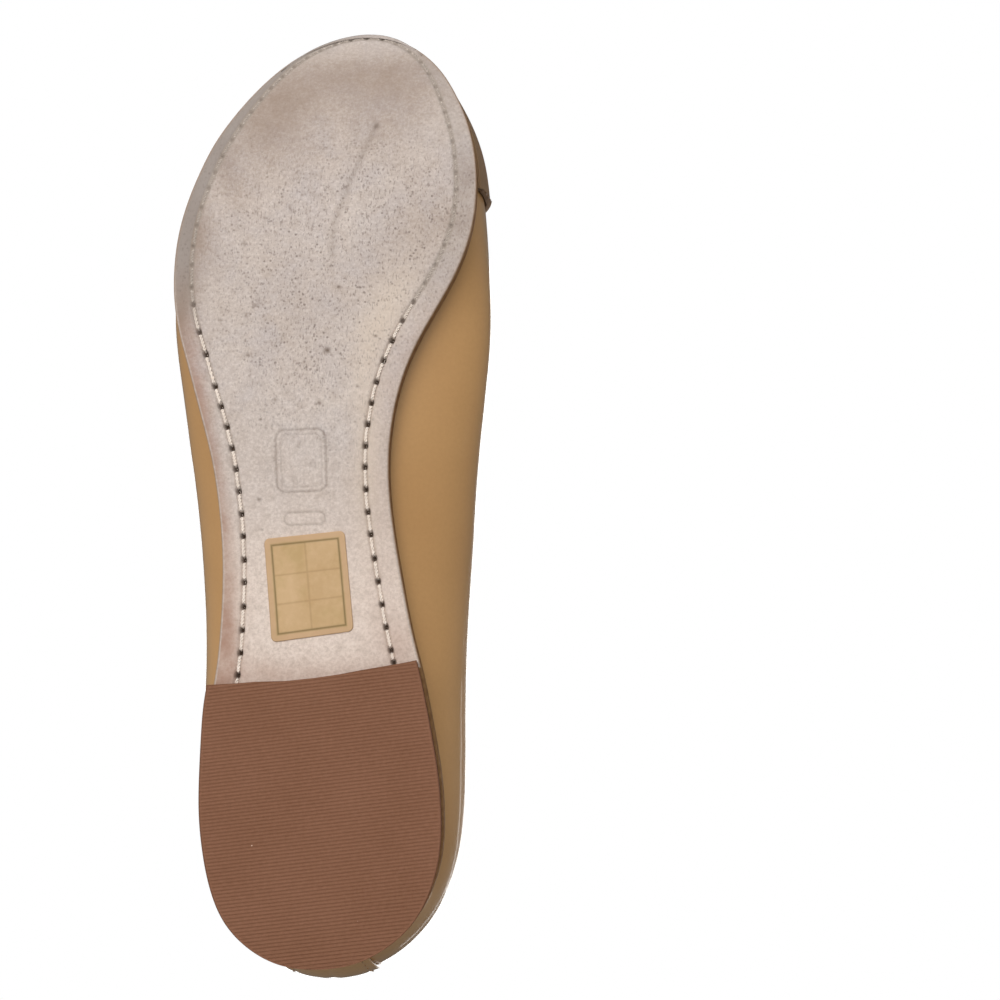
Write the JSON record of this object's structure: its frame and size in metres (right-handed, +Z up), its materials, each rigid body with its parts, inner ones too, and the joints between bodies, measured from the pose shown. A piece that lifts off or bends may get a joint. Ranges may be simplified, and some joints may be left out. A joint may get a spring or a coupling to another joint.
{
  "type": "ballet slipper",
  "caption": "Right-foot ballet flat with patent upper, textured toe cap, stitched leather outsole and low ribbed rubber heel.",
  "frame": {"origin": "middle of the footprint on the ground plane, directly under the centre of the bounding box, with the heel and the ball of the sole resting on z = 0", "axes": "+Z up as worn, -Y towards the toe, +Y towards the heel, +X towards the inner (medial) side of this right shoe"},
  "size_m": [0.093, 0.2724, 0.0664],
  "materials": {
    "patent_leather": "camel patent leather, high gloss coat",
    "toe_cap_fabric": "brown ribbed textile, matte",
    "outsole_leather": "natural veg-tanned leather, worn tread",
    "heel_rubber": "brown rubber, fine moulded ribs",
    "fibre": "dyed leather fibre board, edge stained",
    "thread": "waxed cream linen thread",
    "lining_leather": "natural lining leather, matte",
    "sock_leather": "smooth sock leather, satin",
    "stiffener": "impregnated non-woven stiffener",
    "interlining": "woven cotton interlining",
    "elastic": "woven elastic band",
    "board": "cellulose insole board, matte",
    "cork": "granulated cork filler",
    "foam": "latex foam",
    "steel": "brushed tempered steel",
    "label_paper": "printed paper label, satin"
  },
  "bodies": {
    "root": {"outsole": "outsole_leather", "sole_stitching": "thread", "heel_lift": "fibre", "heel_top_piece": "heel_rubber", "heel_nail_1": "steel", "heel_nail_2": "steel", "heel_nail_3": "steel", "heel_nail_4": "steel", "heel_nail_5": "steel", "vamp_and_quarters": "patent_leather", "toe_cap": "toe_cap_fabric", "backstay": "patent_leather", "toe_puff": "stiffener", "heel_counter": "stiffener", "quarter_interlining_lateral": "interlining", "quarter_interlining_medial": "interlining", "vamp_lining": "lining_leather", "quarter_lining": "lining_leather", "topline_binding": "patent_leather", "topline_elastic": "elastic", "insole_board": "board", "shank": "steel", "shank_rivet_front": "steel", "shank_rivet_rear": "steel", "bottom_filler": "cork", "sock_foam": "foam", "sock_lining": "sock_leather", "composition_label": "label_paper"}
  },
  "joints": []
}
